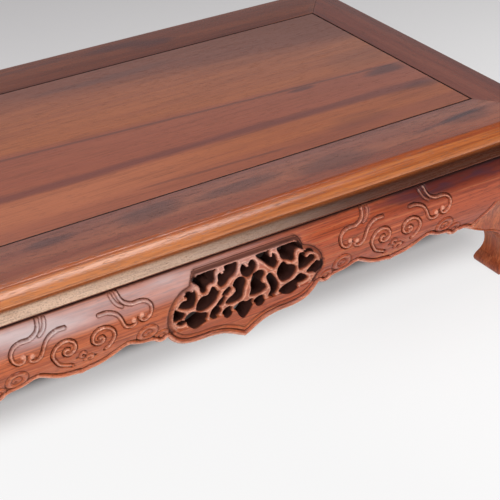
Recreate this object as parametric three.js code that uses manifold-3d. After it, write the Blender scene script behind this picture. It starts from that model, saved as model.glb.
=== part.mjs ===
import * as THREE from 'three';
import { mergeVertices } from 'three/addons/utils/BufferGeometryUtils.js';
import Module from 'manifold-3d';

// A low rectangular rosewood stand for a teapot: framed top, waist strip, carved aprons, curved legs.
// Millimetres. X runs along the length, Y toward the back, Z up from the floor.
const OVERALL_LENGTH = 400;
const OVERALL_DEPTH = 218.7;
const OVERALL_HEIGHT = 100;
const NOSE_REACH = 6.1;
const FLAT_HALF_X = OVERALL_LENGTH / 2 - NOSE_REACH;
const FLAT_HALF_Y = OVERALL_DEPTH / 2 - NOSE_REACH;

// Framed top
const LONG_RAIL_WIDTH = 29.2;
const SHORT_RAIL_WIDTH = 25.8;
const OPENING_HALF_X = FLAT_HALF_X - SHORT_RAIL_WIDTH;
const OPENING_HALF_Y = FLAT_HALF_Y - LONG_RAIL_WIDTH;
const RAIL_THICKNESS = 12;
const MITRE_GAP = 0.15;
const JOINT_CLEARANCE = 0.3;

// Floating panel and its two battens
const PANEL_SEAM = 0.9;
const PANEL_THICKNESS = 7.5;
const TONGUE_TOP = 3.5;
const TONGUE_THICKNESS = 3;
const TONGUE_LENGTH = 4.5;
const GROOVE_DEPTH = 5;
const GROOVE_CLEARANCE = 0.2;
const BATTEN_X = 62;
const BATTEN_WIDTH = 16;
const BATTEN_HEIGHT = 8;
const BATTEN_TONGUE_LENGTH = 8;
const BATTEN_TONGUE_TOP = 8;
const BATTEN_KEY_DEPTH = 2;
const BATTEN_KEY_NECK = 10;
const BATTEN_KEY_ROOT = 12.4;

// Waist strip and apron, measured down from the top face
const WAIST_BOTTOM = 19.9;
const WAIST_INNER = -9.5;
const APRON_TOP = WAIST_BOTTOM;
const APRON_BACK = -9;

// Leg, measured inward from the flat corner
const POST_NEAR = 9.8;
const POST_FAR = 21.6;
const SHOULDER_START = 2.8;
const WING_END = 46;
const WING_END_DEPTH = 61.5;
const LEG_BODY = 22.2;
const LEG_RELIEF_SHARE = 0.36;
const SEAM_GAP = 0.2;
const APRON_TENON = { top: 32, bottom: 44, near: 3, far: 6.5, length: 7 };
const POST_TENON = { alongNear: 15, alongFar: 20.6, inNear: 10.4, inFar: 13.2, height: 4 };
const CORNER_TENON = { alongNear: 4, alongFar: 18, inNear: 9, inFar: 19, top: 2.5, bottom: 6.5 };

// Sections are written as [outward from the flat edge of the top, depth below the top face].
const NOSE_SECTION = [
  [0, 0], [0.45, 0.65], [1.6, 1.5], [2.95, 2.65], [4.15, 4.0], [5.15, 5.5], [5.8, 6.8],
  [NOSE_REACH, 7.8], [5.95, 8.45], [5.4, 8.7], [-0.4, 8.9], [-0.6, RAIL_THICKNESS],
];
const WAIST_SECTION = [
  [-0.6, RAIL_THICKNESS], [-0.55, 13], [0, 14.4], [1.1, 15.9], [2.3, 17], [3.6, 17.9], [3.6, 18.6],
  [3.1, 18.9], [-3.4, 18.9], [-3.4, WAIST_BOTTOM], [WAIST_INNER, WAIST_BOTTOM],
  [WAIST_INNER, RAIL_THICKNESS],
];
const APRON_FACE = [
  [-SHOULDER_START, APRON_TOP], [-0.9, 22.5], [1, 25], [2.5, 28], [3.7, 32], [4.6, 37], [4.9, 43],
  [4.2, 48], [2.9, 52], [1.5, 56], [0.6, 60], [0.5, 66], [0.8, 76],
];

// Scalloped lower edge, as [distance along the apron, depth], drawn for these half lengths between
// the legs' wings and stretched along the apron when the stand is longer or shorter.
const DRAWN_HALF_LONG = 147.9;
const DRAWN_HALF_SHORT = 57.25;
// Centre lobe of the long aprons, from its point out to the small scroll.
const CENTRE_LOBE = [
  [0, 74.7], [2.5, 73.6], [6, 71.7], [10, 69.8], [14, 68.5], [20, 67.6], [26, 67.5], [30, 67.2],
  [34, 66.5], [38, 65.1], [41, 63], [43.2, 60.8],
];
// A scroll unit, from its middle point out to the small scroll, the same on both sides.
const UNIT_CENTRE = 91;
const UNIT_LOBE = [
  [0, 61.4], [2, 60.8], [5, 60.4], [9, 59.9], [13, 58.7], [17, 56.8], [20.5, 54.7], [23.4, 53.3],
];
const UNIT_SCROLL_SKIRT = [[25.5, 53.7], [28, 55], [31, 56.1], [34, 56.6], [36.8, 57]];
// The small scroll beside it is a round lobe, its middle a little above the skirt's end.
const SMALL_SCROLL = { at: 42.8, rise: 1.4, radius: 4.4, from: 40, to: 140, steps: 5 };
const UNIT_TAIL = [[47.6, 58.9], [50, 58.5], [52.7, 59.4], [55, 60.6]];

// Leg edges, as [inward from the flat corner, share of the way down to the floor].
// The inner edge starts at the wing's end, the outer one where the bulged face ends.
const LEG_FACE_END = 60;
const LEG_INNER_EDGE = [
  [42, 0.05], [36, 0.117], [30, 0.177], [25, 0.245], [21.8, 0.325], [19.4, 0.42], [18.1, 0.53],
  [17.9, 0.65], [18.9, 0.766], [20.7, 0.87], [21.5, 0.943], [21, 1],
];
const LEG_OUTER_EDGE = [
  [0.4, 1], [0.1, 0.925], [1, 0.84], [2.5, 0.7], [3.1, 0.55], [2.5, 0.4], [1.2, 0.25], [0.2, 0.1], [-0.5, 0],
];

// Openings of the pierced centre panel, as [along the apron, depth], each a smooth closed outline.
const OPENWORK = [
  [[-31.2, 30.3], [-28.5, 28.8], [-18.5, 28.8], [-18.8, 32], [-20.4, 35], [-22.6, 35.4],
    [-24.4, 38.4], [-26.2, 38.2], [-28, 34.8]],
  [[-12, 28.9], [-6.3, 29], [-6.2, 31.4], [-8, 34.2], [-10.8, 35.5], [-13.2, 38], [-15.2, 38.7],
    [-16.9, 37], [-17.3, 34.4], [-16.6, 32.2], [-14.4, 31.5], [-12.2, 31.6]],
  [[-2.3, 31], [0.3, 32.3], [2.7, 30.7], [4.5, 32.8], [3.7, 36], [0.5, 38.5], [-2.7, 36.6],
    [-3.8, 33.2]],
  [[6, 29.4], [8.4, 28.8], [13, 28.9], [12.7, 31.2], [15, 31.3], [17.1, 33.2], [17.3, 35.8],
    [15.8, 38.3], [13, 36.6], [9.5, 33]],
  [[18.9, 29.2], [28, 28.8], [30.9, 30.4], [31.6, 32.8], [29.2, 33.8], [26.9, 38], [24, 36.8],
    [20.4, 35], [19.3, 32]],
  [[33.7, 34], [36.7, 34.7], [37.7, 36.5], [34.9, 36.5]],
  [[-36, 34.7], [-33.2, 34.7], [-31, 36], [-30, 39], [-30.6, 42.8], [-32.4, 44.8], [-37, 43.6],
    [-40, 41.4], [-38.6, 40.1], [-36, 39.3], [-35.8, 37]],
  [[-29.1, 47], [-29, 43.8], [-27, 41.2], [-23.8, 41.1], [-22, 39.6], [-20.4, 37.3], [-18.2, 37.8],
    [-17, 40.8], [-18.2, 44], [-20.6, 47.3], [-24.4, 49.3], [-27.6, 48.6]],
  [[-14.7, 43.6], [-13.3, 41.7], [-11, 40.7], [-10.3, 42.4], [-12.4, 44.4]],
  [[-17.8, 49.2], [-15.6, 45.9], [-13.6, 45.3], [-13.9, 48.2], [-15.4, 50.4]],
  [[-8.5, 40.3], [-7.4, 38], [-5, 37.3], [-2.5, 38.5], [-1.7, 41], [-2.9, 45.5], [-3, 49],
    [-4.6, 51.3], [-8, 51.7], [-11.6, 50.2], [-11.6, 48.2], [-8.8, 46.2], [-6.8, 44.3], [-7.2, 42.2]],
  [[2.2, 40.7], [3.5, 38.2], [6, 37.3], [8.5, 38.2], [9.2, 40.4], [7.6, 42.7], [7.8, 44.7],
    [10, 46.8], [10.9, 49.2], [9.3, 51.2], [5.6, 51.7], [2.1, 50.2], [2.4, 46.6], [1.8, 42.9]],
  [[11.2, 42.6], [12, 41.1], [13.6, 41.7], [16.5, 46], [18.6, 50.6], [18.9, 54.6], [17.2, 56.8],
    [14.6, 56.2], [15.2, 52], [13.6, 48]],
  [[17.5, 41.4], [18.7, 38.6], [20.9, 37.3], [22.8, 39.6], [26.2, 40.8], [28.3, 43], [27.6, 46.6],
    [24.4, 49.1], [21, 48.4], [18.3, 44.8]],
  [[30.5, 36.7], [32.4, 35.8], [35.2, 38.1], [38.6, 38.6], [40.2, 40.9], [37.4, 43.3], [33.2, 45],
    [30.7, 43.8]],
  [[36, 48.1], [38, 45.6], [42.6, 42.8], [43.8, 45.8], [42.8, 48.9], [40, 49.9]],
  [[-43.2, 46.5], [-42.4, 43], [-39.6, 44.9], [-36.4, 47.2], [-37.2, 49.8], [-40.6, 50.3]],
  [[-39.4, 52.6], [-37, 51.7], [-34.4, 53.6], [-36.2, 54.8]],
  [[-35, 50.6], [-33.6, 48.4], [-31, 48.3], [-26.6, 50.8], [-22.8, 52.6], [-22.5, 56.4],
    [-25.4, 58.1], [-28.6, 59.2], [-31.2, 57.8], [-33.8, 53.6]],
  [[-20, 54.8], [-19.4, 50.8], [-18, 49.7], [-15.4, 52.2], [-14.7, 55.4], [-17.2, 57.3],
    [-19.4, 56.8]],
  [[-12, 55], [-10.3, 53.7], [-8.3, 55.2], [-8.3, 58.7], [-10.3, 60], [-12.4, 58]],
  [[-5.9, 55.9], [-4.2, 53.9], [-1.9, 53.5], [0.4, 54.9], [3.4, 54], [4.2, 56.6], [2.4, 60.6],
    [-0.6, 63.4], [-3, 61.4], [-4.6, 58.4]],
  [[6, 56.2], [7.4, 54.3], [10, 54.4], [11.3, 57.3], [9.8, 59.6], [7, 59]],
  [[21, 55.4], [22.7, 53], [28, 50.7], [31, 48.2], [34, 49.8], [37, 52.8], [36.2, 54.6],
    [32.4, 55], [30.4, 57.8], [27.2, 59], [23.2, 57.8]],
];
const OPENWORK_STEPS = 2;

const FRAME_WOOD = { color: 0x8f5c4d, roughness: 0.38, metalness: 0 };
const PANEL_WOOD = { color: 0xa0654c, roughness: 0.36, metalness: 0 };
const WAIST_WOOD = { color: 0x7a3a24, roughness: 0.4, metalness: 0 };
const CARVED_WOOD = { color: 0x9c4a2e, roughness: 0.45, metalness: 0 };
const HIDDEN_WOOD = { color: 0x8a6244, roughness: 0.7, metalness: 0 };

const wasm = await Module();
wasm.setup();

// Solids and meshes
function solidFrom(geometry) {
  const plain = geometry.clone();
  plain.deleteAttribute('normal');
  plain.deleteAttribute('uv');
  const welded = mergeVertices(plain, 1e-4);
  const vertProperties = new Float32Array(welded.attributes.position.array);
  const triVerts = new Uint32Array(welded.index.array);
  return new wasm.Manifold(new wasm.Mesh({ numProp: 3, vertProperties, triVerts }));
}

function geometryFrom(body) {
  const cut = body.getMesh();
  const geometry = new THREE.BufferGeometry();
  geometry.setAttribute('position', new THREE.BufferAttribute(new Float32Array(cut.vertProperties), 3));
  geometry.setIndex(new THREE.BufferAttribute(new Uint32Array(cut.triVerts), 1));
  const faceted = geometry.toNonIndexed();
  faceted.computeVertexNormals();
  return faceted;
}

function woodenPiece(name, body, wood) {
  const mesh = new THREE.Mesh(geometryFrom(body), new THREE.MeshStandardMaterial(wood));
  mesh.name = name;
  return mesh;
}

// A closed outline run along one axis
function extruded(points, length, basis, origin) {
  const outline = new THREE.Shape(points.map(([u, v]) => new THREE.Vector2(u, v)));
  const geometry = new THREE.ExtrudeGeometry(outline, { depth: length, bevelEnabled: false });
  geometry.applyMatrix4(new THREE.Matrix4().makeBasis(...basis).setPosition(origin));
  return solidFrom(geometry);
}

const X = new THREE.Vector3(1, 0, 0);
const Y = new THREE.Vector3(0, 1, 0);
const Z = new THREE.Vector3(0, 0, 1);

// An outline in Y and Z, run along X
function alongX(points, from, to) {
  return extruded(points, to - from, [Y, Z, X], new THREE.Vector3(from, 0, 0));
}

// An outline in X and Z, run along Y
function alongY(points, from, to) {
  return extruded(points, to - from, [X, Z, Y.clone().negate()], new THREE.Vector3(0, to, 0));
}

// An outline in X and Y, run along Z
function alongZ(points, from, to) {
  return extruded(points, to - from, [X, Y, Z], new THREE.Vector3(0, 0, from));
}

function block(x0, x1, y0, y1, depthTop, depthBottom) {
  const geometry = new THREE.BoxGeometry(x1 - x0, y1 - y0, depthBottom - depthTop);
  geometry.translate((x0 + x1) / 2, (y0 + y1) / 2, OVERALL_HEIGHT - (depthTop + depthBottom) / 2);
  return solidFrom(geometry);
}

function heightAt(depth) {
  return OVERALL_HEIGHT - depth;
}

// Sides: each is drawn as the front one, its flat edge at y = -reach, then turned into place.
// width is that of the side's own rail, and corner that of the rails it meets.
const LONG_SIDE = {
  half: FLAT_HALF_X, reach: FLAT_HALF_Y, width: LONG_RAIL_WIDTH, corner: SHORT_RAIL_WIDTH,
};
const SHORT_SIDE = {
  half: FLAT_HALF_Y, reach: FLAT_HALF_X, width: SHORT_RAIL_WIDTH, corner: LONG_RAIL_WIDTH,
};
const SIDES = [
  { name: 'front', turn: 0, size: LONG_SIDE },
  { name: 'right', turn: Math.PI / 2, size: SHORT_SIDE },
  { name: 'back', turn: Math.PI, size: LONG_SIDE },
  { name: 'left', turn: -Math.PI / 2, size: SHORT_SIDE },
];

function sectionOnSide(section, side) {
  return section.map(([outward, depth]) => [-side.reach - outward, heightAt(depth)]);
}

function mirrored(points) {
  return points.map(([u, v]) => [-u, v]).reverse();
}

// A block set from both ends of a side: along and inward are counted from the flat corner.
function endBlocks(side, alongNear, alongFar, inNear, inFar, top, bottom) {
  const y0 = -side.reach + inNear;
  const y1 = -side.reach + inFar;
  const right = block(side.half - alongFar, side.half - alongNear, y0, y1, top, bottom);
  const left = block(-side.half + alongNear, -side.half + alongFar, y0, y1, top, bottom);
  return right.add(left);
}

// Top rail with a bull-nosed edge, mitred at both ends and grooved for the panel
function topRail(side) {
  const innerY = -side.reach + side.width;
  const innerEdge = [[innerY, heightAt(RAIL_THICKNESS)], [innerY, heightAt(0)]];
  const section = sectionOnSide(NOSE_SECTION, side).concat(innerEdge);
  const over = 10;
  const bar = alongX(section, -side.half - over, side.half + over);
  const end = side.half - MITRE_GAP;
  const rightEnd = [[end + over, -side.reach - over], [end, -side.reach], [end - side.corner, innerY]];
  const footprint = rightEnd.concat(mirrored(rightEnd));
  const mitred = bar.intersect(alongZ(footprint, 0, OVERALL_HEIGHT + 1));
  const grooveTop = TONGUE_TOP - GROOVE_CLEARANCE;
  const grooveBottom = TONGUE_TOP + TONGUE_THICKNESS + GROOVE_CLEARANCE;
  const groove = block(
    -side.half + side.corner - GROOVE_DEPTH, side.half - side.corner + GROOVE_DEPTH,
    innerY - GROOVE_DEPTH, innerY + 1, grooveTop, grooveBottom,
  );
  const c = JOINT_CLEARANCE;
  const t = POST_TENON;
  const postSlots = endBlocks(
    side, t.alongNear - c, t.alongFar + c, t.inNear - c, t.inFar + c,
    RAIL_THICKNESS - t.height - c, RAIL_THICKNESS + 1,
  );
  return mitred.subtract(groove).subtract(postSlots);
}

// Long rails carry the corner tenons and take the batten tongues from below.
function longRail() {
  const t = CORNER_TENON;
  const tenons = endBlocks(LONG_SIDE, t.alongNear, t.alongFar, t.inNear, t.inFar, t.top, t.bottom);
  const innerY = -FLAT_HALF_Y + LONG_RAIL_WIDTH;
  const c = JOINT_CLEARANCE;
  const half = BATTEN_WIDTH / 2 + c;
  let rail = topRail(LONG_SIDE).add(tenons);
  for (const x of [-BATTEN_X, BATTEN_X]) {
    const slot = block(
      x - half, x + half, innerY - BATTEN_TONGUE_LENGTH - c, innerY + 1,
      BATTEN_TONGUE_TOP - c, RAIL_THICKNESS + 1,
    );
    rail = rail.subtract(slot);
  }
  return rail;
}

// Short rails are mortised for those tenons.
function shortRail() {
  const t = CORNER_TENON;
  const c = JOINT_CLEARANCE;
  const mortises = endBlocks(
    SHORT_SIDE, t.inNear - c, t.inFar + c, t.alongNear - c, t.alongFar + 2, t.top - c, t.bottom + c,
  );
  return topRail(SHORT_SIDE).subtract(mortises);
}

function battenKeyOutline(x, grow) {
  const neck = BATTEN_KEY_NECK / 2 + grow;
  const root = BATTEN_KEY_ROOT / 2 + grow;
  const top = heightAt(PANEL_THICKNESS - BATTEN_KEY_DEPTH - grow);
  const bottom = heightAt(PANEL_THICKNESS + 0.5);
  return [[x - neck, bottom], [x + neck, bottom], [x + root, top], [x - root, top]];
}

// Panel: a solid board with a tongue all round and two dovetailed slots below
function topPanel() {
  const halfX = OPENING_HALF_X - PANEL_SEAM;
  const halfY = OPENING_HALF_Y - PANEL_SEAM;
  const board = block(-halfX, halfX, -halfY, halfY, 0, PANEL_THICKNESS);
  const reachX = OPENING_HALF_X + TONGUE_LENGTH;
  const reachY = OPENING_HALF_Y + TONGUE_LENGTH;
  const tongue = block(-reachX, reachX, -reachY, reachY, TONGUE_TOP, TONGUE_TOP + TONGUE_THICKNESS);
  let panel = board.add(tongue);
  for (const x of [-BATTEN_X, BATTEN_X]) {
    panel = panel.subtract(alongY(battenKeyOutline(x, GROOVE_CLEARANCE), -reachY - 1, reachY + 1));
  }
  return panel;
}

// Batten: a bar under the panel, keyed into it, its ends let into the long rails
function batten() {
  const half = BATTEN_WIDTH / 2;
  const bodyHalfY = OPENING_HALF_Y - JOINT_CLEARANCE;
  const reachY = OPENING_HALF_Y + BATTEN_TONGUE_LENGTH;
  const bar = block(-half, half, -bodyHalfY, bodyHalfY, PANEL_THICKNESS, PANEL_THICKNESS + BATTEN_HEIGHT);
  const key = alongY(battenKeyOutline(0, 0), -bodyHalfY, bodyHalfY);
  const tongue = block(-half, half, -reachY, reachY, BATTEN_TONGUE_TOP, RAIL_THICKNESS - JOINT_CLEARANCE);
  return bar.add(key).add(tongue);
}

// Ends cut at 45 degrees, on the lines through the flat corners
function mitredEnds(side, gap) {
  const end = side.half - gap;
  const out = 12;
  const inward = 40;
  const rightEnd = [[end + out, -side.reach - out], [end - inward, -side.reach + inward]];
  return alongZ(rightEnd.concat(mirrored(rightEnd)), 0, OVERALL_HEIGHT);
}

// Waist strip: a cove flaring out to a thin lip
function waistStrip(side) {
  const bar = alongX(sectionOnSide(WAIST_SECTION, side), -side.half - 10, side.half + 10);
  return bar.intersect(mitredEnds(side, MITRE_GAP));
}

// Distance inward from the flat corner of the slanted seam between apron and leg
function seamAt(depth) {
  const slope = (WING_END - SHOULDER_START) / (WING_END_DEPTH - APRON_TOP);
  return SHOULDER_START + (depth - APRON_TOP) * slope;
}

function smallScroll() {
  const points = [];
  const { at, rise, radius, from, to, steps } = SMALL_SCROLL;
  const depth = UNIT_SCROLL_SKIRT.at(-1)[1] - rise;
  for (let i = 0; i <= steps; i += 1) {
    const angle = THREE.MathUtils.degToRad(to + (from - to) * (i / steps));
    points.push([at + radius * Math.cos(angle), depth + radius * Math.sin(angle)]);
  }
  return points;
}

// One side of a scroll unit, from its middle point outwards
function halfUnit() {
  return UNIT_LOBE.concat(UNIT_SCROLL_SKIRT, smallScroll());
}

// Right half of the lower edge of an apron, from the middle to the seam with the leg
function lowerEdge(side) {
  const outer = halfUnit().concat(UNIT_TAIL);
  if (side === SHORT_SIDE) {
    return outer;
  }
  const inner = halfUnit().slice(1).reverse().map(([u, d]) => [UNIT_CENTRE - u, d]);
  return CENTRE_LOBE.concat(inner, outer.map(([u, d]) => [UNIT_CENTRE + u, d]));
}

// How much longer than drawn an apron is between the legs' wings
function stretch(side) {
  const drawn = side === SHORT_SIDE ? DRAWN_HALF_SHORT : DRAWN_HALF_LONG;
  return (side.half - WING_END) / drawn;
}

function apronOutline(side) {
  const edge = lowerEdge(side).map(([u, d]) => [u * stretch(side), heightAt(d)]);
  const seamFoot = [side.half - WING_END - SEAM_GAP, heightAt(WING_END_DEPTH)];
  const seamHead = [side.half - seamAt(APRON_TOP) - SEAM_GAP, heightAt(APRON_TOP)];
  const right = edge.concat([seamFoot, seamHead]);
  return right.concat(mirrored(right).slice(0, -1));
}

// Tenon at each apron end, following the slant of the seam
function apronTenonOutline(half, grow) {
  const t = APRON_TENON;
  const top = t.top - grow;
  const bottom = t.bottom + grow;
  const reach = t.length + grow;
  return [
    [half - seamAt(top) + reach, heightAt(top)],
    [half - seamAt(top) - 1, heightAt(top)],
    [half - seamAt(bottom) - 1, heightAt(bottom)],
    [half - seamAt(bottom) + reach, heightAt(bottom)],
  ];
}

// Apron: bulged board with a scalloped lower edge
function apron(side) {
  const back = [[APRON_BACK, 76], [APRON_BACK, APRON_TOP]];
  const bar = alongX(sectionOnSide(APRON_FACE.concat(back), side), -side.half, side.half);
  const outline = alongY(apronOutline(side), -side.reach - 10, -side.reach + 12);
  const board = bar.intersect(outline).intersect(mitredEnds(side, SEAM_GAP));
  const t = APRON_TENON;
  const tenon = apronTenonOutline(side.half, 0);
  const right = alongY(tenon, -side.reach + t.near, -side.reach + t.far);
  const left = alongY(mirrored(tenon), -side.reach + t.near, -side.reach + t.far);
  return board.add(right).add(left);
}

function smoothClosed(points) {
  const knots = points.map(([x, d]) => new THREE.Vector3(x * stretch(LONG_SIDE), heightAt(d), 0));
  const curve = new THREE.CatmullRomCurve3(knots, true, 'centripetal');
  const samples = curve.getPoints(points.length * OPENWORK_STEPS).slice(0, -1);
  return samples.map((p) => [p.x, p.y]);
}

// Long aprons are pierced in the middle.
function piercedApron() {
  const y0 = -FLAT_HALF_Y - NOSE_REACH;
  const y1 = -FLAT_HALF_Y - APRON_BACK + 1;
  let board = apron(LONG_SIDE);
  for (const hole of OPENWORK) {
    board = board.subtract(alongY(smoothClosed(hole), y0, y1));
  }
  return board;
}

function shareToFloor(depth, share) {
  return depth + (OVERALL_HEIGHT - depth) * share;
}

// Leg, drawn with its flat corner at the origin as the front right one: the stand is toward -X and +Y.
function legOutline() {
  const face = APRON_FACE.filter(([, depth]) => depth < LEG_FACE_END).map(([o, depth]) => [-o, depth]);
  const seam = [
    [seamAt(APRON_TOP + 2) - SEAM_GAP, APRON_TOP + 2], [WING_END - SEAM_GAP, WING_END_DEPTH],
  ];
  const inner = LEG_INNER_EDGE.map(([a, share]) => [a, shareToFloor(WING_END_DEPTH, share)]);
  const outer = LEG_OUTER_EDGE.map(([a, share]) => [a, shareToFloor(LEG_FACE_END, share)]);
  return [...seam, ...inner, ...outer, ...face.reverse()];
}

// A block placed in leg coordinates, inward from the flat corner along both faces
function legBlock(a0, a1, b0, b1, top, bottom) {
  return block(-a1, -a0, b0, b1, top, bottom);
}

function leg() {
  const outline = legOutline();
  const out = 12;
  const deep = 60;
  const throughY = alongY(outline.map(([a, d]) => [-a, heightAt(d)]), -out, deep);
  const throughX = alongX(outline.map(([b, d]) => [b, heightAt(d)]), -deep, out);
  const wingBack = -APRON_BACK;
  const reliefEnd = shareToFloor(WING_END_DEPTH, LEG_RELIEF_SHARE);
  const behindFront = legBlock(LEG_BODY, deep, wingBack, deep, 0, reliefEnd);
  const behindSide = legBlock(wingBack, deep, LEG_BODY, deep, 0, reliefEnd);
  const post = legBlock(POST_NEAR, POST_FAR, POST_NEAR, POST_FAR, RAIL_THICKNESS, LEG_FACE_END);
  const t = POST_TENON;
  const top = RAIL_THICKNESS - t.height;
  const bottom = RAIL_THICKNESS + 2;
  const tenonFront = legBlock(t.alongNear, t.alongFar, t.inNear, t.inFar, top, bottom);
  const tenonSide = legBlock(t.inNear, t.inFar, t.alongNear, t.alongFar, top, bottom);
  const slot = apronTenonOutline(0, JOINT_CLEARANCE);
  const slotNear = APRON_TENON.near - JOINT_CLEARANCE;
  const slotFar = APRON_TENON.far + JOINT_CLEARANCE;
  const slotFront = alongY(slot, slotNear, slotFar);
  const slotSide = alongX(slot.map(([x, z]) => [-x, z]), -slotFar, -slotNear);
  return throughY.intersect(throughX).subtract(behindFront).subtract(behindSide)
    .subtract(slotFront).subtract(slotSide)
    .add(post).add(tenonFront).add(tenonSide);
}

// Assembly
const stand = new THREE.Group();
for (const side of SIDES) {
  const turned = new THREE.Group();
  turned.rotation.z = side.turn;
  const isLong = side.size === LONG_SIDE;
  turned.add(woodenPiece(`top_rail_${side.name}`, isLong ? longRail() : shortRail(), FRAME_WOOD));
  turned.add(woodenPiece(`waist_strip_${side.name}`, waistStrip(side.size), WAIST_WOOD));
  turned.add(woodenPiece(`apron_${side.name}`, isLong ? piercedApron() : apron(side.size), CARVED_WOOD));
  stand.add(turned);
}

stand.add(woodenPiece('top_panel', topPanel(), PANEL_WOOD));
for (const [name, x] of [['panel_batten_left', -BATTEN_X], ['panel_batten_right', BATTEN_X]]) {
  const bar = woodenPiece(name, batten(), HIDDEN_WOOD);
  bar.position.x = x;
  stand.add(bar);
}

const CORNERS = [
  { name: 'leg_front_right', x: FLAT_HALF_X, y: -FLAT_HALF_Y, turn: 0 },
  { name: 'leg_back_right', x: FLAT_HALF_X, y: FLAT_HALF_Y, turn: Math.PI / 2 },
  { name: 'leg_back_left', x: -FLAT_HALF_X, y: FLAT_HALF_Y, turn: Math.PI },
  { name: 'leg_front_left', x: -FLAT_HALF_X, y: -FLAT_HALF_Y, turn: -Math.PI / 2 },
];
for (const corner of CORNERS) {
  const piece = woodenPiece(corner.name, leg(), CARVED_WOOD);
  piece.position.set(corner.x, corner.y, 0);
  piece.rotation.z = corner.turn;
  stand.add(piece);
}

export default stand;
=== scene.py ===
import bmesh
import bpy
import math
import numpy as np
from mathutils import Matrix, Vector


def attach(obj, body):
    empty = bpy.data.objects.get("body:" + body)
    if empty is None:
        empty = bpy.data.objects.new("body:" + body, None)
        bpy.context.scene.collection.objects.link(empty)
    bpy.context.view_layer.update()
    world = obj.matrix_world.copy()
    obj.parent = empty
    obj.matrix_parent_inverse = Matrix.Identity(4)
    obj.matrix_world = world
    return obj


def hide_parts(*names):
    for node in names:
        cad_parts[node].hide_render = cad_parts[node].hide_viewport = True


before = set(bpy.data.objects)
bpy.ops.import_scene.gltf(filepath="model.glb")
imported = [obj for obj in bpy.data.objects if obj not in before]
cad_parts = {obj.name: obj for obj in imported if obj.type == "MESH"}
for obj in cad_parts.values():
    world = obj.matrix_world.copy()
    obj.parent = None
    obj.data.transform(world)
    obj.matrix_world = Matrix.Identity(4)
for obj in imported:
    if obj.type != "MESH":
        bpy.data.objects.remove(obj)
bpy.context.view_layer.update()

# Camera: it stands off the front left corner of the stand and looks down on the long front apron through a
# long lens, 31 degrees below the horizontal and 34 degrees to the right of square on.
HEIGHT = 0.100
FOCAL_LENGTH, SENSOR_WIDTH = 103.77, 36
YAW, PITCH = math.radians(33.7156), math.radians(31.295)
CAMERA_AT = (-0.32796, -0.59945, HEIGHT + 0.3367)
scene = bpy.context.scene
lens = bpy.data.cameras.new("camera")
lens.sensor_width = SENSOR_WIDTH
lens.lens = FOCAL_LENGTH
lens.clip_start = 0.01
camera = bpy.data.objects.new("camera", lens)
ahead = Vector((math.sin(YAW) * math.cos(PITCH), math.cos(YAW) * math.cos(PITCH), -math.sin(PITCH)))
rightward = Vector((math.cos(YAW), -math.sin(YAW), 0))
upward = rightward.cross(ahead)
turn = Matrix((rightward, upward, -ahead)).transposed().to_4x4()
camera.matrix_world = Matrix.Translation(CAMERA_AT) @ turn
scene.collection.objects.link(camera)
scene.camera = camera
scene.view_settings.view_transform = "Standard"


# Floor and studio: a seamless sheet of white paper, pale grey behind the stand, with a soft box near the
# front right, one low on the left, one overhead and the even light of a white room.
class Tone:
    """One value in a finish. Sums and products of tones add their Math nodes."""

    def __init__(self, tree, socket):
        self.tree, self.socket = tree, socket

    def node(self, kind, settings=None, values=None, out=0):
        """Any node: its type, then its settings, then the values or tones of its sockets"""
        made = self.tree.nodes.new(kind)
        for name, setting in (settings or {}).items():
            setattr(made, name, setting)
        for name, value in (values or {}).items():
            if isinstance(value, Tone):
                self.tree.links.new(value.socket, made.inputs[name])
            elif isinstance(value, tuple) and len(value) == 3 and made.inputs[name].type == "RGBA":
                made.inputs[name].default_value = (*value, 1)
            else:
                made.inputs[name].default_value = value
        return Tone(self.tree, made.outputs[out])

    def maths(self, operation, *values):
        return self.node("ShaderNodeMath", {"operation": operation}, dict(enumerate(values)))

    def __add__(self, other):
        return self.maths("ADD", self, other)

    def __sub__(self, other):
        return self.maths("SUBTRACT", self, other)

    def __rsub__(self, other):
        return self.maths("SUBTRACT", other, self)

    def __mul__(self, other):
        return self.maths("MULTIPLY", self, other)

    def __abs__(self):
        return self.maths("ABSOLUTE", self)

    __radd__ = __add__
    __rmul__ = __mul__

    def split(self):
        """The three parts of a vector"""
        parts = self.tree.nodes.new("ShaderNodeSeparateXYZ")
        self.tree.links.new(self.socket, parts.inputs[0])
        return [Tone(self.tree, part) for part in parts.outputs]

    def step(self, low, high):
        """0 below low, 1 above high, and a soft rise between"""
        settings = {"interpolation_type": "SMOOTHSTEP"}
        return self.node("ShaderNodeMapRange", settings, {"Value": self, "From Min": low, "From Max": high})

    def blend(self, plain, other):
        """The colour plain where this tone is 0, other where it is 1 (sockets 6 and 7 of the node)"""
        return self.node("ShaderNodeMix", {"data_type": "RGBA"}, {0: self, 6: plain, 7: other}, out=2)


def new_finish(name, **constants):
    """A material with its one shader; returns it, a tone of the object's place and a feed to the shader"""
    material = bpy.data.materials.new(name)
    material.use_nodes = True
    tree = material.node_tree
    tree.nodes.clear()
    output = tree.nodes.new("ShaderNodeOutputMaterial")
    bsdf = tree.nodes.new("ShaderNodeBsdfPrincipled")
    tree.links.new(bsdf.outputs[0], output.inputs["Surface"])
    for socket, value in constants.items():
        bsdf.inputs[socket.replace("_", " ")].default_value = value
    place = Tone(tree, tree.nodes.new("ShaderNodeTexCoord").outputs["Object"])

    def feed(socket, tone):
        tree.links.new(tone.socket, bsdf.inputs[socket])

    return material, place, feed


MILLIMETRE, SAME_PLACE = 0.001, 1e-7


def new_mesh(name, vertices, faces, painted):
    """A mesh in metres from vertices in millimetres, with a painted value for each vertex"""
    mesh = bpy.data.meshes.new(name)
    points = np.asarray(vertices, float) * MILLIMETRE
    mesh.from_pydata(points.tolist(), [], faces)
    for what, values in painted.items():
        layer = mesh.attributes.new(what, "FLOAT", "POINT")
        layer.data.foreach_set("value", np.asarray(values, np.float32))
    return mesh


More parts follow.
